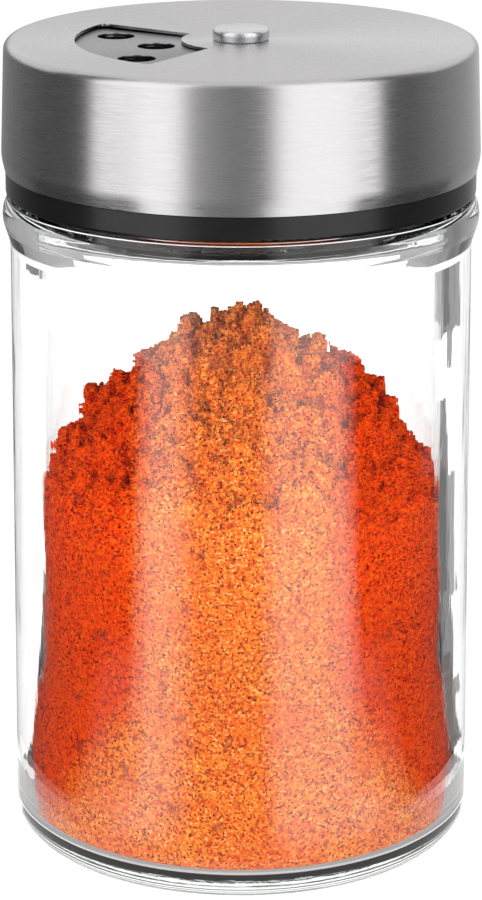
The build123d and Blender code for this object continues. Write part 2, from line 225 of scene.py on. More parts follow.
jar = draw_section("spice_jar_glass", [
    (0, BASE_HOLLOW, 0),
    (BASE_HOLLOW_RADIUS, BASE_HOLLOW, 3 * MM),
    (STAND_INNER, 0, 0),
    (STAND_OUTER, 0, 0),
    (HEEL_CORNER_RADIUS, HEEL_CORNER_HEIGHT, HEEL_ROUND),
    (BODY_RADIUS_LOW, HEEL_HEIGHT, 0),
    (BODY_RADIUS_HIGH, BODY_TOP, 3 * MM),
    (LID_RADIUS + BEAD_BULGE, shoulder - BEAD_DROP, BEAD_ROUND),
    (LID_RADIUS - BEAD_INSET, shoulder, 0.3 * MM),
    (NECK_RADIUS, shoulder, 0.6 * MM),
    (NECK_RADIUS, jar_high.z, RIM_ROUND),
    (MOUTH_RADIUS, jar_high.z, RIM_ROUND),
    (MOUTH_RADIUS, INNER_SHOULDER_HIGH, INNER_SHOULDER_ROUND),
    (glass_inside(INNER_SHOULDER_LOW), INNER_SHOULDER_LOW, INNER_SHOULDER_ROUND),
    (glass_inside(THINNING_TOP), THINNING_TOP, THINNING_ROUND),
    (glass_inside(THINNING_BOTTOM), THINNING_BOTTOM, THINNING_ROUND),
    (glass_inside(FLOOR_THICKNESS), FLOOR_THICKNESS, FLOOR_ROUND),
    (0, FLOOR_THICKNESS, 0),
])
spin_section(jar)

# %% Wind the thread around the neck
THREAD_PITCH = 4 * MM
THREAD_TURNS = 1.25
THREAD_STEPS = 90
THREAD_DEPTH = 1 * MM
THREAD_FOOT = 0.9 * MM          # half the ridge's width at its foot
THREAD_CREST = 0.4 * MM         # and at its crest
THREAD_ROUND = 0.2 * MM
THREAD_START = shoulder + 5.3 * MM
THREAD_BITE = 0.1 * MM          # the ridge starts this far inside the neck, so that the two can be joined

thread = draw_section("neck_thread", [
    (NECK_RADIUS - THREAD_BITE, THREAD_START - THREAD_FOOT, 0),
    (NECK_RADIUS + THREAD_DEPTH, THREAD_START - THREAD_CREST, THREAD_ROUND),
    (NECK_RADIUS + THREAD_DEPTH, THREAD_START + THREAD_CREST, THREAD_ROUND),
    (NECK_RADIUS - THREAD_BITE, THREAD_START + THREAD_FOOT, 0),
], closed=True)
leave_edit_mode()
apply_modifier(
    thread, "SCREW", axis="Z", angle=math.tau * THREAD_TURNS, screw_offset=THREAD_PITCH * THREAD_TURNS,
    steps=THREAD_STEPS, render_steps=THREAD_STEPS,
)
edit(thread)
bpy.ops.mesh.fill_holes(sides=0)
bpy.ops.mesh.select_all(action="SELECT")
bpy.ops.mesh.normals_make_consistent(inside=False)
leave_edit_mode()
apply_modifier(jar, "BOOLEAN", object=thread, operation="UNION", solver="EXACT")
bpy.data.objects.remove(thread)
print("Thread ridge winds from", round(THREAD_START / MM, 2), "mm over", THREAD_TURNS, "turns")
smooth(jar)

# %% [markdown]
# ## The steel cap
# The cap is drawn from one sheet of stainless steel: a slightly dished plate, a tight round edge, a side
# that widens a little downwards, and a lower edge rolled in. Sheet metal is easiest to model as a skin
# that is thickened inwards. The window is then punched through it with a cutter, and the punched edge is
# broken by a fine bevel, because a real punched edge is never quite sharp and shows as a thin bright line.

# %% Draw the cap
CAP_SHEET = 0.3 * MM
CAP_TOP_RADIUS = 24.55 * MM
CAP_TOP_ROUND = 0.9 * MM
CAP_DISH = 0.15 * MM            # the plate sinks this far from its edge to the knob
KNOB_HEIGHT = 1.25 * MM
SHANK_RADIUS = 1.75 * MM
KNOB_SEAT = 3.55 * MM           # flat middle of the plate
CAP_CURL = 0.3 * MM             # the lower edge rolls in by this much
CAP_CURL_HEIGHT = 1.4 * MM
CAP_CURL_ROUND = 4 * MM

plate_top = knob_high.z - KNOB_HEIGHT
cap = draw_section("steel_cap", [
    (SHANK_RADIUS, plate_top, 0),
    (KNOB_SEAT, plate_top, 0),
    (CAP_TOP_RADIUS, plate_top + CAP_DISH, CAP_TOP_ROUND),
    (LID_RADIUS, cap_low.z + CAP_CURL_HEIGHT, CAP_CURL_ROUND),
    (LID_RADIUS - CAP_CURL, cap_low.z, 0),
])
spin_section(cap)
apply_modifier(cap, "SOLIDIFY", thickness=CAP_SHEET, offset=-1, use_even_offset=True)
print("Cap plate lies at", round(plate_top / MM, 2), "mm")

# %% Punch the window
WINDOW_INNER = 6.2 * MM
WINDOW_OUTER = 17.2 * MM
WINDOW_START = math.radians(148)
WINDOW_SPAN = math.radians(90)
WINDOW_CORNER = 0.9 * MM
WINDOW_STEPS = 45
CUTTER_REACH = 2 * CAP_SHEET    # the cutter ends this far above and below the plate
EDGE_BREAK = 0.05 * MM          # bevel on a punched edge
PLATE_MARGIN = 2 * MM           # nothing is punched this near to the plate's edge
UPRIGHT = 0.3                   # an upright face has a normal that rises less than this
LEVEL = 0.7                     # and a level one a normal that rises more than this

window = draw_section("window_cutter", [(WINDOW_INNER, 0, 0), (WINDOW_OUTER, 0, 0)])
bpy.ops.mesh.select_all(action="SELECT")
bpy.ops.transform.rotate(value=-WINDOW_START, orient_axis="Z", center_override=(0, 0, 0))
bpy.ops.mesh.spin(steps=WINDOW_STEPS, angle=WINDOW_SPAN, center=(0, 0, 0), axis=(0, 0, -1))
bpy.ops.mesh.select_all(action="SELECT")
bpy.ops.mesh.dissolve_faces()
for azimuth in (WINDOW_START, WINDOW_START + WINDOW_SPAN):
    bpy.ops.object.mode_set(mode="OBJECT")
    bpy.ops.object.mode_set(mode="EDIT")
    select_point(window, Vector((WINDOW_OUTER * math.cos(azimuth), WINDOW_OUTER * math.sin(azimuth), 0)))
    bpy.ops.mesh.bevel(affect="VERTICES", offset=WINDOW_CORNER, segments=ROUND_STEPS)
bpy.ops.mesh.select_all(action="SELECT")
bpy.ops.transform.translate(value=(0, 0, plate_top - CUTTER_REACH))
bpy.ops.mesh.extrude_region_move(TRANSFORM_OT_translate={"value": (0, 0, 2 * CUTTER_REACH)})
bpy.ops.mesh.select_all(action="SELECT")
bpy.ops.mesh.normals_make_consistent(inside=False)
leave_edit_mode()
apply_modifier(cap, "BOOLEAN", object=window, operation="DIFFERENCE", solver="EXACT")
bpy.data.objects.remove(window)


def inside_plate(place):
    """True for a place well inside the plate's edge and outside the knob's seat."""
    return KNOB_SEAT < place.to_2d().length < CAP_TOP_RADIUS - PLATE_MARGIN


def is_punched(face):
    """True for an upright face of a hole through the plate."""
    return abs(face.normal.z) < UPRIGHT and inside_plate(face.center)


def edges_of(piece, rule):
    """The edges of the faces for which a rule is true, each as the numbers of its two points."""
    return {tuple(sorted(pair)) for face in piece.data.polygons if rule(face) for pair in face.edge_keys}


punched = edges_of(cap, is_punched)
level = edges_of(cap, lambda face: face.normal.z > LEVEL)
edit(cap)
select_where(cap, "EDGE", lambda side: tuple(sorted(side.vertices)) in punched & level)
print("Window edge is", sum(side.select for side in cap.data.edges), "segments round")
bpy.ops.mesh.bevel(offset=EDGE_BREAK, segments=2)
smooth(cap)

# %% [markdown]
# ## The rivet knob
# A round head stands on the middle of the cap. It is upset from bar and tumbled: a flat top, a soft edge
# and a side that swells a little. Its shank goes down through the lid to a spread tail under the washers.

# %% Draw and spin the rivet
TAIL_RADIUS = 2.6 * MM
TAIL_HEIGHT = 0.7 * MM
KNOB_SWELL = 0.06 * MM          # the top and the foot are this much narrower than the middle
KNOB_WIDEST = 0.55              # height of the widest place, as a share of the head's height
KNOB_STEPS = 96

knob = draw_section("rivet_knob", [
    (0, knob_high.z, 0),
    (knob_radius - KNOB_SWELL, knob_high.z, 0.4 * MM),
    (knob_radius, plate_top + KNOB_WIDEST * KNOB_HEIGHT, 0.6 * MM),
    (knob_radius - KNOB_SWELL, plate_top, 0.2 * MM),
    (SHANK_RADIUS, plate_top, 0),
    (SHANK_RADIUS, knob_low.z + TAIL_HEIGHT, 0),
    (TAIL_RADIUS, knob_low.z + TAIL_HEIGHT, 0),
    (TAIL_RADIUS, knob_low.z, 0.25 * MM),
    (0, knob_low.z, 0),
])
spin_section(knob, steps=KNOB_STEPS)
smooth(knob)

# %% [markdown]
# ## The dial disc
# The disc under the window is punched from thin sheet. Its shape in the engineering model is already
# right, so a copy of it is used: the copy's triangles are merged and dissolved into whole faces, and its
# edges are broken by a fine bevel.

# %% Copy the disc and break its edges
DISC_EDGE_BREAK = 0.03 * MM
FLAT_WITHIN = math.radians(1)   # triangles that turn less than this belong to one face
SHARP_FROM = math.radians(60)   # edges that turn more than this are broken

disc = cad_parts["shaker_disc"].copy()
disc.data = disc.data.copy()
bpy.context.scene.collection.objects.link(disc)
disc.name = disc.data.name = "dial_disc"
edit(disc)
bpy.ops.mesh.remove_doubles(threshold=MERGE)
bpy.ops.mesh.dissolve_limited(angle_limit=FLAT_WITHIN)
leave_edit_mode()
apply_modifier(
    disc, "BEVEL", width=DISC_EDGE_BREAK, segments=2, limit_method="ANGLE", angle_limit=SHARP_FROM,
)
smooth(disc)

# %% [markdown]
# ## The heap of spice
# Ground spice is damp enough to clump. Poured in, it fills the body, lies flat against the glass and rises
# to a blunt, ragged cone that leans forward a little. The half section is drawn, its slope is divided
# finely, and a Screw modifier turns it. The slope is then roughened by displacement, from lumps a finger
# would make down to single grains. Points at the glass move only up and down, so they stay on the glass.

# %% Draw and turn the heap
POWDER_GAP = 0.1 * MM
HEAP_EDGE = 39 * MM             # mean height at which the slope meets the glass
HEAP_SLOPE = ((6.6, 54.6), (13.6, 49.4), (18.4, 43.9))  # its corners: radius and height in millimetres
HEAP_CUTS = 32                  # cuts in each of the slope's straight stretches
HEAP_STEPS = 540
SOFTEN_PASSES = 100

heap_edge_radius = glass_inside(HEAP_EDGE) - POWDER_GAP
heap = draw_section("spice_heap", [
    (0, heap_high.z, 0),
    *((radius * MM, height * MM, 0) for radius, height in HEAP_SLOPE),
    (heap_edge_radius, HEAP_EDGE, 0),
    (glass_inside(THINNING_TOP) - POWDER_GAP, THINNING_TOP, THINNING_ROUND),
    (glass_inside(THINNING_BOTTOM) - POWDER_GAP, THINNING_BOTTOM, THINNING_ROUND),
    (glass_inside(heap_low.z) - POWDER_GAP, heap_low.z, FLOOR_ROUND),
    (0, heap_low.z, 0),
])


def on_slope(height):
    """True for a height on the heap's slope, its lower end included."""
    return height > HEAP_EDGE - MERGE


select_where(heap, "EDGE", lambda side: all(on_slope(heap.data.vertices[i].co.z) for i in side.vertices))
bpy.ops.mesh.subdivide(number_cuts=HEAP_CUTS)
select_where(heap, "VERT", lambda point: HEAP_EDGE + MERGE < point.co.z < heap_high.z - MERGE)
bpy.ops.mesh.vertices_smooth(factor=0.5, repeat=SOFTEN_PASSES)
leave_edit_mode()
apply_modifier(
    heap, "SCREW", axis="Z", angle=math.tau, screw_offset=0, steps=HEAP_STEPS, render_steps=HEAP_STEPS,
    use_merge_vertices=True, merge_threshold=MERGE,
)
edit(heap)
bpy.ops.mesh.remove_doubles(threshold=MERGE)
bpy.ops.mesh.normals_make_consistent(inside=False)
leave_edit_mode()
print("Heap has", len(heap.data.vertices), "points and rises to", round(heap_high.z / MM, 1), "mm")

# %% Roughen the slope
EDGE_FADE = 1.5 * MM            # fine relief fades out over this distance from the glass

slope = heap.vertex_groups.new(name="slope")
off_glass = heap.vertex_groups.new(name="off_glass")
for point in heap.data.vertices:
    if on_slope(point.co.z):
        slope.add([point.index], 1, "REPLACE")
        share = (heap_edge_radius - point.co.to_2d().length) / EDGE_FADE
        off_glass.add([point.index], min(max(share, 0), 1), "REPLACE")


def roughen(name, size, height, basis="BLENDER_ORIGINAL", group="slope", direction="Z", depth=1):
    """Displace the heap by a cloud pattern: its size, and its height from the lowest to the highest place."""
    pattern = bpy.data.textures.new(name, "CLOUDS")
    pattern.noise_basis = basis
    pattern.noise_scale = size
    pattern.noise_depth = depth
    apply_modifier(
        heap, "DISPLACE", texture=pattern, texture_coords="LOCAL", direction=direction, strength=height,
        mid_level=0.5, vertex_group=group,
    )


LEAN = 2.2 * MM                 # the slope's front is this much higher than its middle, and the back lower

lean = bpy.data.textures.new("lean", "BLEND")
lean.use_flip_axis = "VERTICAL"
apply_modifier(
    heap, "DISPLACE", texture=lean, texture_coords="LOCAL", direction="Z", mid_level=0.5,
    strength=-2 * LEAN / heap_edge_radius, vertex_group="slope",
)
roughen("lumps", 6.5 * MM, 4 * MM)
roughen("clumps", 3.4 * MM, -5.5 * MM, basis="VORONOI_F1")
roughen("crumbs", 1.1 * MM, 2.4 * MM, group="off_glass", direction="NORMAL", depth=2)
roughen("grains", 0.4 * MM, 0.7 * MM, group="off_glass", direction="NORMAL")
edit(heap)
bpy.ops.mesh.normals_make_consistent(inside=False)
leave_edit_mode()
smooth(heap, crease_angle=180)
top = max(point.co.z for point in heap.data.vertices)
print("The roughened heap rises to", round(top / MM, 1), "mm")

# %% [markdown]
# ## Loose crumbs
# Crumbs that broke off the clumps lie all over the slope and make its outline ragged. One crumb is
# modelled, and its copies are turned, stretched and partly sunk into the slope at points drawn by a seeded
# random choice, more of them near the top. They are joined into one piece.

# %% Scatter the crumbs
CRUMB_COUNT = 620
PEAK_COUNT = 90                 # further crumbs, all of them near the top
PEAK_RADIUS = 3 * MM
CRUMB_SMALL = 0.14 * MM         # smallest and largest radius
CRUMB_LARGE = 0.42 * MM
CRUMB_STRETCH = (0.7, 1.3)      # least and most that a crumb is stretched along each of its axes
CRUMB_LIFT = 0.4                # a crumb's middle lies this share of its radius above the slope
CRUMB_INSET = 1.2 * MM          # crumbs lie at least this far from the glass
DENTS = 0.9                     # size and depth of a crumb's dents, as a share of its radius
SEED = 4

leave_edit_mode()
bpy.ops.mesh.primitive_ico_sphere_add(subdivisions=1, radius=1)
crumb = bpy.context.object
crumb.name = "crumb"
knobbly = bpy.data.textures.new("knobbly", "CLOUDS")
knobbly.noise_scale = DENTS
apply_modifier(crumb, "DISPLACE", texture=knobbly, texture_coords="LOCAL", strength=DENTS, mid_level=0.5)

chance = random.Random(SEED)
reach = heap_edge_radius - CRUMB_INSET
places = [
    point.co.copy() for point in heap.data.vertices
    if on_slope(point.co.z) and point.co.to_2d().length < reach
]
near_peak = [place for place in places if place.to_2d().length < PEAK_RADIUS]
copies = []
for number in range(CRUMB_COUNT + PEAK_COUNT):
    peak = number >= CRUMB_COUNT
    place = chance.choice(near_peak if peak else places)
    size = CRUMB_SMALL + (CRUMB_LARGE - CRUMB_SMALL) * chance.random() ** 2
    copy = crumb.copy()
    copy.data = crumb.data.copy()
    bpy.context.scene.collection.objects.link(copy)
    copy.location = place + Vector((0, 0, CRUMB_LIFT * size))
    copy.rotation_euler = [chance.uniform(0, math.tau) for axis in range(3)]
    copy.scale = [size * chance.uniform(*CRUMB_STRETCH) for axis in range(3)]
    copies.append(copy)
bpy.data.objects.remove(crumb)
leave_edit_mode()
for copy in copies:
    copy.select_set(True)
crumbs = copies[0]
bpy.context.view_layer.objects.active = crumbs
bpy.ops.object.join()
crumbs.name = crumbs.data.name = "spice_crumbs"
bpy.ops.object.transform_apply()
smooth(crumbs, crease_angle=60)

# %% [markdown]
# ## Materials
# One small function adds a node with its settings and inputs, and one turns a colour given as a hex
# value into the linear light that the renderer works in.

# %% Helpers for materials


def linear(hex_colour):
    """Turn an sRGB hex colour into linear red, green, blue and alpha."""
    channels = [int(hex_colour[i:i + 2], 16) / 255 for i in (1, 3, 5)]
    return (*[c / 12.92 if c <= 0.04045 else ((c + 0.055) / 1.055) ** 2.4 for c in channels], 1)


def add(tree, kind, settings=None, inputs=None):
    """Add a node, set its properties, and set or link its inputs. A node stands for its first output."""
    made = tree.nodes.new(kind)
    for name, value in (settings or {}).items():
        setattr(made, name, value)
    for name, value in (inputs or {}).items():
        if isinstance(value, bpy.types.Node):
            value = value.outputs[0]
        if isinstance(value, bpy.types.NodeSocket):
            tree.links.new(value, made.inputs[name])
        else:
            made.inputs[name].default_value = value
    return made


def ramp(tree, value, stops, interpolation="LINEAR"):
    """Add a colour ramp through (position, colour) stops."""
    made = add(tree, "ShaderNodeValToRGB", inputs={0: value})
    made.color_ramp.interpolation = interpolation
    for index, (position, colour) in enumerate(stops):
        if index > 1:
            made.color_ramp.elements.new(position)
        made.color_ramp.elements[index].position = position
        made.color_ramp.elements[index].color = colour
    return made


def new_material(name):
    """Make an empty node material, and return it with its node tree and output node."""
    material = bpy.data.materials.new(name)
    material.use_nodes = True
    material.node_tree.nodes.clear()
    return material, material.node_tree, add(material.node_tree, "ShaderNodeOutputMaterial")


def finish_with(tree, output, shader):
    """Lead a shader to the material's surface."""
    tree.links.new(shader.outputs[0], output.inputs["Surface"])


def dress(piece, material):
    """Give a piece one material all over."""
    piece.data.materials.clear()
    piece.data.materials.append(material)


def dress_where(piece, material, rule):
    """Give the faces for which a rule is true a second material."""
    piece.data.materials.append(material)
    for face in piece.data.polygons:
        if rule(face):
            face.material_index = len(piece.data.materials) - 1


# %% [markdown]
# ### Brushed stainless steel
# The cap is type 304 stainless sheet, brushed while it turned against an abrasive belt. The belt leaves
# short fine scratches that run round the cap. They spread a reflection across themselves and leave it sharp
# along themselves, which gives the side its upright light and dark bands. That is an anisotropic shader
# whose tangent runs round the axis, with streaks of noise that are long around and fine across.
# The scratches are drawn 0.12 mm wide, because the real ones are finer than the picture can show.

# %% Brushed and satin steel
SCRATCH_WIDTH = 0.12 * MM
SCRATCHES_ROUND = 9         # noise cells in a radian of the turn


def brushed_steel(name, colour, smoothest, roughest, depth):
    """Steel with scratches around the upright axis: its colour, range of roughness and scratch depth."""
    material, tree, output = new_material(name)
    place = add(tree, "ShaderNodeTexCoord").outputs["Object"]
    xyz = add(tree, "ShaderNodeSeparateXYZ", inputs={"Vector": place}).outputs
    flat = add(tree, "ShaderNodeCombineXYZ", inputs={"X": xyz["X"], "Y": xyz["Y"]})
    radius = add(tree, "ShaderNodeVectorMath", {"operation": "LENGTH"}, {0: flat}).outputs["Value"]
    around = add(tree, "ShaderNodeVectorMath", {"operation": "NORMALIZE"}, {0: flat})
    across = add(tree, "ShaderNodeMath", {"operation": "SUBTRACT"}, {0: radius, 1: xyz["Z"]})
    fine = add(tree, "ShaderNodeMath", {"operation": "DIVIDE"}, {0: across, 1: SCRATCH_WIDTH})
    lift = add(tree, "ShaderNodeCombineXYZ", inputs={"Z": fine})
    streak_place = add(
        tree, "ShaderNodeVectorMath", {"operation": "MULTIPLY_ADD"},
        {0: around, 1: (SCRATCHES_ROUND,) * 3, 2: lift},
    )
    streaks = add(
        tree, "ShaderNodeTexNoise",
        inputs={"Vector": streak_place, "Scale": 1, "Detail": 4, "Roughness": 0.65},
    )
    rough = add(
        tree, "ShaderNodeMapRange",
        inputs={
            "Value": streaks, "From Min": 0.25, "From Max": 0.75, "To Min": smoothest, "To Max": roughest,
        },
    )
    bump = add(tree, "ShaderNodeBump", inputs={"Height": streaks, "Strength": 1, "Distance": depth})
    tangent = add(tree, "ShaderNodeTangent", {"direction_type": "RADIAL", "axis": "Z"})
    shader = add(
        tree, "ShaderNodeBsdfPrincipled",
        inputs={
            "Base Color": linear(colour), "Metallic": 1, "Roughness": rough, "Anisotropic": 0.8,
            "Anisotropic Rotation": 0.25, "Normal": bump, "Tangent": tangent,
        },
    )
    finish_with(tree, output, shader)
    return material


cap_steel = brushed_steel("brushed stainless steel", "#BFBDBE", 0.2, 0.38, 0.004 * MM)
disc_steel = brushed_steel("satin stainless steel disc", "#848486", 0.25, 0.4, 0.003 * MM)

# %% [markdown]
# ### Punched edges and the tumbled rivet
# A punch burnishes the edge that it cuts, so the walls of the window and the holes are smooth. Their colour
# is painted darker than the cap's: a painted shade for the dark hollow that the walls face. The rivet and
# the washers are tumbled in small stones, which gives them a soft bright skin with faint dents.

# %% Punched edge and tumbled steel
DENT = 0.35 * MM            # across one dent


def tumbled_steel(name, colour, smoothest, roughest, depth):
    """Steel with faint dents all over: its colour, range of roughness and dent depth."""
    material, tree, output = new_material(name)
    place = add(tree, "ShaderNodeTexCoord").outputs["Object"]
    dents = add(tree, "ShaderNodeTexNoise", inputs={"Vector": place, "Scale": 1 / DENT, "Detail": 3})
    rough = add(
        tree, "ShaderNodeMapRange",
        inputs={"Value": dents, "From Min": 0.3, "From Max": 0.7, "To Min": smoothest, "To Max": roughest},
    )
    bump = add(tree, "ShaderNodeBump", inputs={"Height": dents, "Strength": 1, "Distance": depth})
    shader = add(
        tree, "ShaderNodeBsdfPrincipled",
        inputs={"Base Color": linear(colour), "Metallic": 1, "Roughness": rough, "Normal": bump},
    )
    finish_with(tree, output, shader)
    return material


# Painted shade: the punched walls get a darker steel colour for the dark hollow that they reflect.
punched_edge_with_shade = tumbled_steel("burnished punched edge with painted shade", "#8A8A8D", 0.15, 0.25, 0.002 * MM)
knob_steel = tumbled_steel("tumbled stainless steel", "#CFCFD1", 0.22, 0.4, 0.012 * MM)
washer_steel = tumbled_steel("tumbled spring steel", "#A6A6A8", 0.25, 0.45, 0.008 * MM)

dress(cap, cap_steel)
dress_where(cap, punched_edge_with_shade, is_punched)
dress(knob, knob_steel)
dress(disc, disc_steel)
dress_where(disc, punched_edge_with_shade, is_punched)

# %% [markdown]
# ### Clear glass
# Pressed soda-lime glass has an index near 1.52 and a green-grey tint that only shows where the light goes
# a long way through it. Its skin was chilled by the mould, so it waves a little, and reflections and
# whatever is seen through the wall break into ragged upright streaks. The glass lets shadow rays and the
# powder's scattered light pass straight, so that the heap inside is lit without caustic noise.

# %% Clear glass
WAVE_WIDTH = 4 * MM
WAVE_HEIGHT = 16 * MM
WAVE_DEPTH = 0.03 * MM
STREAK_WIDTH = 0.7 * MM
STREAK_HEIGHT = 9 * MM
STREAK_DEPTH = 0.006 * MM

glass, tree, output = new_material("clear soda-lime glass")
place = add(tree, "ShaderNodeTexCoord").outputs["Object"]
wavy = None
for width, height, depth in (
    (WAVE_WIDTH, WAVE_HEIGHT, WAVE_DEPTH),
    (STREAK_WIDTH, STREAK_HEIGHT, STREAK_DEPTH),
):
    drawn_out = add(
        tree, "ShaderNodeMapping", inputs={"Vector": place, "Scale": (1 / width, 1 / width, 1 / height)},
    )
    waves = add(
        tree, "ShaderNodeTexNoise",
        inputs={"Vector": drawn_out, "Scale": 1, "Detail": 2, "Roughness": 0.45},
    )
    wavy = add(
        tree, "ShaderNodeBump",
        inputs={"Height": waves, "Strength": 1, "Distance": depth, **({"Normal": wavy} if wavy else {})},
    )
body = add(
    tree, "ShaderNodeBsdfPrincipled",
    inputs={
        "Base Color": (1, 1, 1, 1), "Roughness": 0, "IOR": 1.52, "Transmission Weight": 1, "Normal": wavy,
    },
)
let_through = add(tree, "ShaderNodeBsdfTransparent", inputs={"Color": (0.95, 0.965, 0.955, 1)})
rays = add(tree, "ShaderNodeLightPath").outputs
straight = add(
    tree, "ShaderNodeMath", {"operation": "MAXIMUM"},
    {0: rays["Is Shadow Ray"], 1: rays["Is Diffuse Ray"]},
)
surface = add(tree, "ShaderNodeMixShader", inputs={0: straight, 1: body, 2: let_through})
tint = add(tree, "ShaderNodeVolumeAbsorption", inputs={"Color": linear("#D8DEDA"), "Density": 12})
finish_with(tree, output, surface)
tree.links.new(tint.outputs["Volume"], output.inputs["Volume"])
dress(jar, glass)

# %% [markdown]
# ### Ground spice
# Ground spice is a mix of grains 0.2 to 0.4 mm across: orange flesh, paler seed and dark skin. A Voronoi
# pattern gives each grain a colour of its own. Flakes of dark skin show as ragged specks, and most of them
# lie in the upper part, which isn't shaken down as tightly. There, ragged dark patches are painted shade for
# the crevices between clumps. The part below is a shade darker, a painted shade that makes the heap's top
# under the lid look lighter. To the left and right of the middle the colour is a deeper red, a painted shade
# for the sides that turn away from the lamps, less so near the floor. Nothing shines.

# %% Ground spice
GRAIN = 0.21 * MM           # size of one cell of each pattern
FLAKE = 0.55 * MM
CREVICE_SHADE_SIZE = 2.2 * MM
PATCH = 6 * MM
RAGGED = 0.7                # a grain's outline is ragged by this share of its size
GRAIN_RELIEF = 0.18 * MM    # and its middle stands this far out
LOOSENESS = 0.012           # what the loose part adds to the patterns of flakes and of painted crevice shade
LOOSE_FROM = 24 * MM        # the powder grows looser from this height
LOOSE_TO = 44 * MM          # to this one
SIDE_SHADE_FROM = 8 * MM          # and painted redder, as shade on the sides, from this distance to the left or right of the middle
SIDE_SHADE_TO = 11.5 * MM         # to this one
SIDE_SHADE_HEIGHT = 22 * MM       # below this height the painted side shade starts further out
SIDE_SHADE_SPREAD = 13 * MM       # and at the floor by this much

spice, tree, output = new_material("ground red spice")
place = add(tree, "ShaderNodeTexCoord").outputs["Object"]


def spice_noise(size, detail=2):
    """Add a noise pattern of a cell size, for the spice."""
    return add(tree, "ShaderNodeTexNoise", inputs={"Vector": place, "Scale": 1 / size, "Detail": detail})


def share_of(pattern, low, high, top):
    """Turn a pattern's values between two limits into a share that rises from nought to a top value."""
    return add(
        tree, "ShaderNodeMapRange",
        inputs={"Value": pattern, "From Min": low, "From Max": high, "To Max": top},
    )


def blend(share, under, over):
    """Lay one colour over another by a share."""
    return add(tree, "ShaderNodeMixRGB", inputs={"Fac": share, "Color1": under, "Color2": over})


fuzz = spice_noise(GRAIN / 2)
ragged = add(
    tree, "ShaderNodeVectorMath", {"operation": "MULTIPLY_ADD"},
    {0: fuzz.outputs["Color"], 1: (RAGGED * GRAIN,) * 3, 2: place},
)
cells = add(tree, "ShaderNodeTexVoronoi", inputs={"Vector": ragged, "Scale": 1 / GRAIN}).outputs
grain_colour = ramp(tree, cells["Color"], (
    (0.14, linear("#6E1A0A")),
    (0.3, linear("#DC5210")),
    (0.5, linear("#F4741A")),
    (0.75, linear("#FC902C")),
    (0.97, linear("#FFC078")),
))
along = add(tree, "ShaderNodeSeparateXYZ", inputs={"Vector": place}).outputs
loose = share_of(along["Z"], LOOSE_FROM, LOOSE_TO, LOOSENESS)
aside = add(tree, "ShaderNodeMath", {"operation": "ABSOLUTE"}, {0: along["X"]})
spread = share_of(along["Z"], SIDE_SHADE_HEIGHT, 0, SIDE_SHADE_SPREAD)
side_shade_distance = add(tree, "ShaderNodeMath", {"operation": "SUBTRACT"}, {0: aside, 1: spread})
# Painted shade: left and right of the middle, where the sides turn away from the lamps, the colour is
# multiplied to a deeper red.
painted_side_shade = add(
    tree, "ShaderNodeMixRGB", {"blend_type": "MULTIPLY"},
    {"Fac": share_of(side_shade_distance, SIDE_SHADE_FROM, SIDE_SHADE_TO, 1), "Color1": grain_colour, "Color2": linear("#F08C18")},
)
# Painted shade: below the loose part the powder is multiplied a shade darker, which makes the heap's top
# under the lid look lighter.
painted_lower_shade = add(
    tree, "ShaderNodeMixRGB", {"blend_type": "MULTIPLY"},
    {"Fac": share_of(along["Z"], LOOSE_TO, LOOSE_FROM, 1), "Color1": painted_side_shade, "Color2": linear("#E8E8E8")},
)
deeper = blend(share_of(spice_noise(PATCH, 3), 0.42, 0.64, 0.3), painted_lower_shade, linear("#CC3C08"))
flake_value = add(tree, "ShaderNodeMath", {"operation": "ADD"}, {0: spice_noise(FLAKE, 4), 1: loose})
flaked = blend(share_of(flake_value, 0.58, 0.64, 0.55), deeper, linear("#84220C"))
# Painted shade: ragged dark purple-brown patches for the crevices between clumps, more of them in the loose
# upper part.
crevice_shade_value = add(tree, "ShaderNodeMath", {"operation": "ADD"}, {0: spice_noise(CREVICE_SHADE_SIZE, 5), 1: loose})
spice_colour_with_crevice_shade = blend(share_of(crevice_shade_value, 0.62, 0.72, 0.6), flaked, linear("#7A2C1C"))
bump = add(
    tree, "ShaderNodeBump", inputs={"Height": cells["Distance"], "Strength": 1, "Distance": -GRAIN_RELIEF},
)
spice_shader = add(
    tree, "ShaderNodeBsdfPrincipled",
    inputs={"Base Color": spice_colour_with_crevice_shade, "Roughness": 0.95, "Specular IOR Level": 0.05, "Normal": bump},
)
finish_with(tree, output, spice_shader)
dress(heap, spice)
dress(crumbs, spice)

# %% [markdown]
# ### Moulded plastic and the sealing ring
# The collar is moulded from black polypropylene: glossy from a polished mould, with a very faint flow
# pattern. The sealing ring is a matt, slightly speckled elastomer, coloured a mid grey: a painted shade for
# the dark that lies on it inside the collar.

# %% Plastic and seal


def moulded(name, colours, roughness, cell, depth):
    """A moulded material: two close colours, a roughness, and a relief of one cell size and depth."""
    material, tree, output = new_material(name)
    place = add(tree, "ShaderNodeTexCoord").outputs["Object"]
    flow = add(tree, "ShaderNodeTexNoise", inputs={"Vector": place, "Scale": 1 / cell, "Detail": 3})
    colour = add(
        tree, "ShaderNodeMixRGB",
        inputs={"Fac": flow, "Color1": linear(colours[0]), "Color2": linear(colours[1])},
    )
    bump = add(tree, "ShaderNodeBump", inputs={"Height": flow, "Strength": 1, "Distance": depth})
    shader = add(
        tree, "ShaderNodeBsdfPrincipled",
        inputs={
            "Base Color": colour, "Roughness": roughness, "IOR": 1.49, "Specular IOR Level": 0.35,
            "Normal": bump,
        },
    )
    finish_with(tree, output, shader)
    return material


plastic = moulded("black moulded polypropylene", ("#080809", "#101011"), 0.22, 1.2 * MM, 0.006 * MM)
# Painted shade: the sealing ring is coloured mid grey for the dark inside the collar.
seal_with_painted_shade = moulded("seal with painted shade", ("#6A6A68", "#5C5C5A"), 0.6, 0.5 * MM, 0.01 * MM)

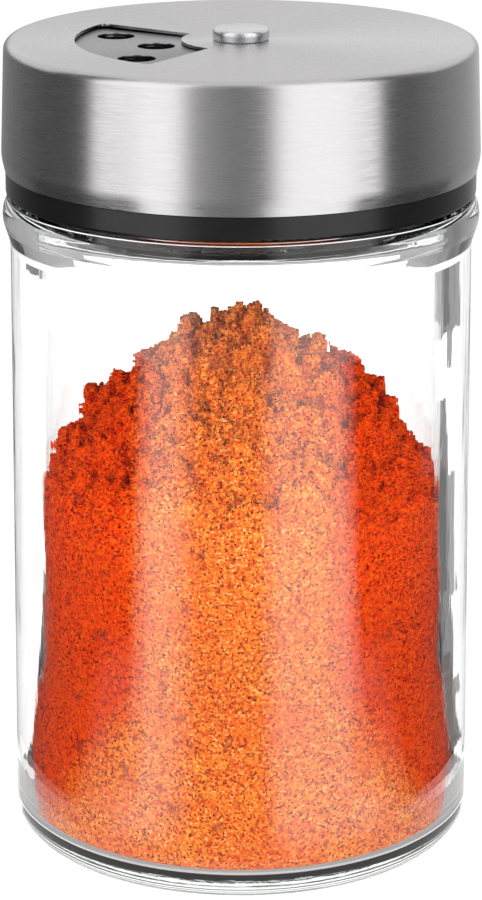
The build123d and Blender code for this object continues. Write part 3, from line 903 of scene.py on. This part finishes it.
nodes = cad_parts
dress(nodes["threaded_collar"], plastic)
dress(nodes["seal_ring"], seal_with_painted_shade)
dress(nodes["spring_washer"], washer_steel)
dress(nodes["retaining_washer"], washer_steel)

# %% [markdown]
# ## Tying the pieces to the frame
# Each new piece rides on the body that its engineering node belongs to, and stands in for that node, which
# is hidden. The table also lists the material slot of the record that its finish answers to, which is not
# used.

# %% Tie the new pieces to the frame
for piece, body_name, node, slot in (
    (jar, "jar", "glass_jar", "clear_glass"),
    (heap, "jar", "spice_powder", "ground_spice"),
    (crumbs, "jar", None, "ground_spice"),
    (cap, "dial", "cap_shell", "brushed_steel"),
    (knob, "dial", "pivot_knob", "polished_steel"),
    (disc, "collar", "shaker_disc", "satin_steel"),
):
    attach(piece, body_name)
    if node:
        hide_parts(node)
    print(piece.name, "rides on", body_name)

# %% [markdown]
# ## The studio
# The jar stands on a plain white floor in a white surround. The camera looks down a little from the front.
# A floor that is only lit is never quite as white as the surround, so most of its white is a glow, seen by
# rays from the camera, from a reflection and through glass. The rest is lit, and takes the jar's shadow.

# %% Camera
CAMERA_PLACE = (0, -0.34926, 0.14872)
CAMERA_DOWN = 17.01         # degrees that it looks down
CAMERA_LENS = 136.26        # focal length on a sensor 36 mm wide, both in millimetres
SENSOR_WIDTH = 36
NEAREST_SEEN = 0.01

leave_edit_mode()
camera_data = bpy.data.cameras.new("camera")
camera_data.sensor_width = SENSOR_WIDTH
camera_data.lens = CAMERA_LENS
camera_data.clip_start = NEAREST_SEEN
camera = bpy.data.objects.new("camera", camera_data)
bpy.context.scene.collection.objects.link(camera)
camera.location = CAMERA_PLACE
camera.rotation_euler = (math.radians(90 - CAMERA_DOWN), 0, 0)
bpy.context.scene.camera = camera

# %% Floor and world
FLOOR_SIZE = 6
FLOOR_GLOW = 0.85           # share of the floor's white that isn't shaded, so that the shadow stays soft
GLOW_STRENGTH = 1.12        # makes up for the shaded share, so that the open floor is white
UNDER_RADIUS = 40 * MM      # the thick base shows the floor under the jar, where hardly any light comes
UNDER_SHARE = 0.25          # so this share of the glow is left there
FILL = 0.42                 # light of the surround on the object


def seen_directly(tree):
    """One for rays from the camera, from a reflection or through glass, and nought for all others."""
    rays = add(tree, "ShaderNodeLightPath").outputs
    either = add(
        tree, "ShaderNodeMath", {"operation": "MAXIMUM"},
        {0: rays["Is Camera Ray"], 1: rays["Is Glossy Ray"]},
    )
    return add(tree, "ShaderNodeMath", {"operation": "MAXIMUM"}, {0: either, 1: rays["Is Transmission Ray"]})


bpy.ops.mesh.primitive_plane_add(size=FLOOR_SIZE)
floor = bpy.context.object
floor.name = "floor"
paper, tree, output = new_material("white paper floor")
share = add(tree, "ShaderNodeMath", {"operation": "MULTIPLY"}, {0: seen_directly(tree), 1: FLOOR_GLOW})
diffuse = add(tree, "ShaderNodeBsdfDiffuse", inputs={"Color": linear("#F2F2F2")})
place = add(tree, "ShaderNodeTexCoord").outputs["Object"]
from_middle = add(tree, "ShaderNodeVectorMath", {"operation": "LENGTH"}, {0: place}).outputs["Value"]
under = add(tree, "ShaderNodeMath", {"operation": "LESS_THAN"}, {0: from_middle, 1: UNDER_RADIUS})
through = add(tree, "ShaderNodeLightPath").outputs["Is Transmission Ray"]
under_glass = add(tree, "ShaderNodeMath", {"operation": "MULTIPLY"}, {0: under, 1: through})
glow_strength = add(
    tree, "ShaderNodeMapRange",
    inputs={"Value": under_glass, "To Min": GLOW_STRENGTH, "To Max": UNDER_SHARE * GLOW_STRENGTH},
)
glow = add(tree, "ShaderNodeEmission", inputs={"Strength": glow_strength})
finish_with(tree, output, add(tree, "ShaderNodeMixShader", inputs={0: share, 1: diffuse, 2: glow}))
dress(floor, paper)

world = bpy.data.worlds.new("white surround")
bpy.context.scene.world = world
world.use_nodes = True
tree = world.node_tree
tree.nodes.clear()
strength = add(tree, "ShaderNodeMapRange", inputs={"Value": seen_directly(tree), "To Min": FILL, "To Max": 1})
background = add(tree, "ShaderNodeBackground", inputs={"Color": (1, 1, 1, 1), "Strength": strength})
add(tree, "ShaderNodeOutputWorld", inputs={"Surface": background})

# %% [markdown]
# ### Light and reflections
# Two large soft lamps light the heap from the left and right front. They don't show in the steel and the
# glass: what shows there is a ring of cards round the jar, bright where a softbox would stand and dark
# between, as a product photographer sets it. The ring's light is a ramp over the azimuth.
# Azimuth 0 is towards the camera, and positive azimuths are to its right.

# %% Soft lamps
LAMP_WIDTH = 0.57
LAMP_HEIGHT = 0.56
LAMP_DISTANCE = 0.6
LAMP_MIDDLE = 0.3           # height of a lamp's middle
LAMP_RADIANCE = 5.4
LAMP_AIM = (0, 0, 0.05)     # a little above the middle of the jar's height


def soft_lamp(name, azimuth):
    """Add a large lamp that faces the jar and doesn't show in reflections."""
    data = bpy.data.lights.new(name, "AREA")
    data.shape = "RECTANGLE"
    data.size = LAMP_WIDTH
    data.size_y = LAMP_HEIGHT
    data.energy = LAMP_RADIANCE * math.pi * LAMP_WIDTH * LAMP_HEIGHT
    lamp = bpy.data.objects.new(name, data)
    bpy.context.scene.collection.objects.link(lamp)
    turn = math.radians(azimuth)
    lamp.location = (LAMP_DISTANCE * math.sin(turn), -LAMP_DISTANCE * math.cos(turn), LAMP_MIDDLE)
    aim = Vector(LAMP_AIM) - lamp.location
    lamp.rotation_euler = aim.to_track_quat("-Z", "Y").to_euler()
    lamp.visible_camera = False
    lamp.visible_glossy = False
    lamp.visible_transmission = False


soft_lamp("left soft lamp", -45)
soft_lamp("right soft lamp", 43)

# %% Cards for the reflections
BRIGHTEST = 4               # the ramp's full value
CARD_STEPS = 60             # segments round a card
CARD_LIFT = 0.8 * MM        # the cards lie this far above the floor
WALL_TOP = 0.6
BACK_TOP = 0.13             # top of the grey cards behind
WALL_SIDE = 100             # azimuth at which the front walls end and those behind begin
FLOOR_SIDE = 118            # and the same for the cards on the floor near the jar
RING_RADIUS = 0.3           # radius of the walls, and of the floor cards' outer edge
RING_MIDDLE = 0.235
RING_WIDE = 0.1             # within this radius the floor cards' light starts to widen
RING_NEAR = 0.06            # and within this one it is at its widest
RING_HEEL = 0.04
RING_FOOT = 0.034           # radius of the floor cards' inner edge


def light_around(tree, azimuth, stops):
    """The light of a card through (azimuth, strength) stops, as a share of the brightest."""
    return ramp(tree, azimuth.outputs["Fac"], [
        (degrees / 360 + 0.5, (strength / BRIGHTEST,) * 3 + (1,)) for degrees, strength in stops
    ])


def ring_card(name, section, start, end, stops, near_stops=None, reflected=True, refracted=True):
    """Bend a card from one azimuth to another. Its light follows stops, and other stops near the jar."""
    card = draw_section(name, [(radius, height, 0) for radius, height in section])
    bpy.ops.mesh.select_all(action="SELECT")
    bpy.ops.transform.rotate(value=-math.radians(start - 90), orient_axis="Z", center_override=(0, 0, 0))
    bpy.ops.mesh.spin(steps=CARD_STEPS, angle=math.radians(end - start), center=(0, 0, 0), axis=(0, 0, -1))
    leave_edit_mode()
    material, tree, output = new_material(name)
    place = add(tree, "ShaderNodeTexCoord").outputs["Object"]
    turned = add(tree, "ShaderNodeMapping", inputs={"Vector": place, "Rotation": (0, 0, math.radians(90))})
    azimuth = add(tree, "ShaderNodeTexGradient", {"gradient_type": "RADIAL"}, {"Vector": turned})
    light = light_around(tree, azimuth, stops)
    if near_stops:
        radius = add(tree, "ShaderNodeVectorMath", {"operation": "LENGTH"}, {0: place}).outputs["Value"]
        share = add(
            tree, "ShaderNodeMapRange",
            inputs={"Value": radius, "From Min": RING_NEAR, "From Max": RING_WIDE},
        )
        near_light = light_around(tree, azimuth, near_stops)
        light = add(tree, "ShaderNodeMixRGB", inputs={"Fac": share, "Color1": near_light, "Color2": light})
    strength = add(tree, "ShaderNodeMath", {"operation": "MULTIPLY"}, {0: light, 1: BRIGHTEST})
    finish_with(tree, output, add(tree, "ShaderNodeEmission", inputs={"Strength": strength}))
    dress(card, material)
    card.visible_camera = False
    card.visible_diffuse = False
    card.visible_shadow = False
    card.visible_glossy = reflected
    card.visible_transmission = refracted


# The stops of each ring card: azimuth in degrees and strength.
WALL_LIGHT = [
    (-179, 0.6), (-172, 0.42), (-162, 0.3), (-150, 0.25), (-135, 0.2), (-106, 0.08), (-84, 0.12),
    (-75, 0.12), (-69, 1.75), (-29, 1.75), (-22, 0.55), (-3, 0.3), (11, 0.3), (20, 1.75), (64, 1.75),
    (69, 0.14), (84, 0.16), (113, 0.3), (140, 0.47), (156, 0.64), (179, 0.7),
]
MIDDLE_LIGHT = [
    (-118, 0.05), (-50, 0.05), (-47, 1.7), (-34, 1.7), (-20, 0.25), (8, 0.25), (18, 1.7), (52, 1.7),
    (56, 0.05), (118, 0.05),
]
NEAR_LIGHT = [
    (-118, 0.05), (-70, 0.05), (-62, 0.7), (-50, 0.8), (-46, 1.5), (-34, 1.6), (-18, 0.25), (8, 0.25),
    (18, 1.6), (52, 1.6), (58, 0.8), (64, 0.7), (72, 0.05), (118, 0.05),
]
HEEL_LIGHT = [
    (-118, 0.3), (-96, 0.5), (-52, 0.6), (-46, 1.2), (-34, 1.2), (-18, 0.3), (8, 0.3), (18, 1.3),
    (52, 1.3), (58, 0.8), (96, 1), (118, 0.3),
]

low, foot, heel, middle, far = CARD_LIFT, RING_FOOT, RING_HEEL, RING_MIDDLE, RING_RADIUS
front_wall = (-WALL_SIDE, WALL_SIDE)
front_floor = (-FLOOR_SIDE, FLOOR_SIDE)
back_wall = (WALL_SIDE, 360 - WALL_SIDE)
back_floor = (FLOOR_SIDE, 360 - FLOOR_SIDE)
ring_card("front wall cards", [(far, low), (far, WALL_TOP)], *front_wall, WALL_LIGHT)
ring_card("front far floor cards", [(middle, low), (far, low)], *front_wall, WALL_LIGHT)
ring_card("front near floor cards", [(heel, low), (middle, low)], *front_floor, MIDDLE_LIGHT, NEAR_LIGHT)
ring_card("front heel floor cards", [(foot, low), (heel, low)], *front_floor, HEEL_LIGHT)
ring_card(
    "grey cards behind", [(middle, low), (far, low), (far, BACK_TOP)], *back_wall, WALL_LIGHT,
    refracted=False,
)
ring_card("grey near cards behind", [(foot, low), (middle, low)], *back_floor, WALL_LIGHT, refracted=False)

# %% [markdown]
# The edges of the glass show what stands behind the jar to its left and right, drawn out into upright
# streaks. White is seen there but for a few dark flags, which give the glass its shape. These cards show
# only through the glass. A flag's distance from the jar decides how high up it shows: near is low. The
# thick base leads the eye up the wall behind. That wall is white at first, as the wall of the jar shows
# it, and grey further up, so that the base is grey.

# %% Cards seen through the glass
GREY_FROM = 0.12            # height at which the wall behind turns grey
FLAG_LIFT = 2 * CARD_LIFT
WHITE_BEHIND = [(-180, 1.35), (180, 1.35)]
GREY_BEHIND = [(-180, 0.6), (-140, 0.5), (-100, 0.7), (100, 0.5), (140, 0.22), (165, 0.5), (180, 0.6)]


def flag(name, start, end, inner, outer, strength):
    """Lay a card between two azimuths and two radii just above the others, seen only through the glass."""
    stops = [(-180, strength), (180, strength)]
    ring_card(name, [(inner, FLAG_LIFT), (outer, FLAG_LIFT)], start, end, stops, reflected=False)


ring_card(
    "white card behind", [(middle, low), (far, low), (far, GREY_FROM)], *back_wall, WHITE_BEHIND,
    reflected=False,
)
ring_card("grey wall behind", [(far, GREY_FROM), (far, WALL_TOP)], *back_wall, GREY_BEHIND, reflected=False)
ring_card("white near card behind", [(foot, low), (middle, low)], *back_floor, WHITE_BEHIND, reflected=False)
flag("white patch by the left heel", -116, -98, foot, heel, 1)
flag("flag of the right edge", 116, 130, 0.055, 0.155, 0.18)
flag("wider flag of the right edge", 128, 138, 0.085, 0.14, 0.3)
flag("flag by the right heel", 122, 150, foot, heel, 0.2)
flag("flag above the heap's right side", 103, 130, 0.15, 0.183, 0.22)
flag("flag of the right shoulder", 101, 148, 0.222, 0.29, 0.2)
flag("flag of the right shoulder's spike", 131, 138, 0.197, 0.222, 0.3)
flag("flag of the left shoulder", -141, -106, 0.262, 0.4, 0.15)

bpy.context.scene.view_settings.view_transform = "Standard"

bpy.context.view_layer.update()
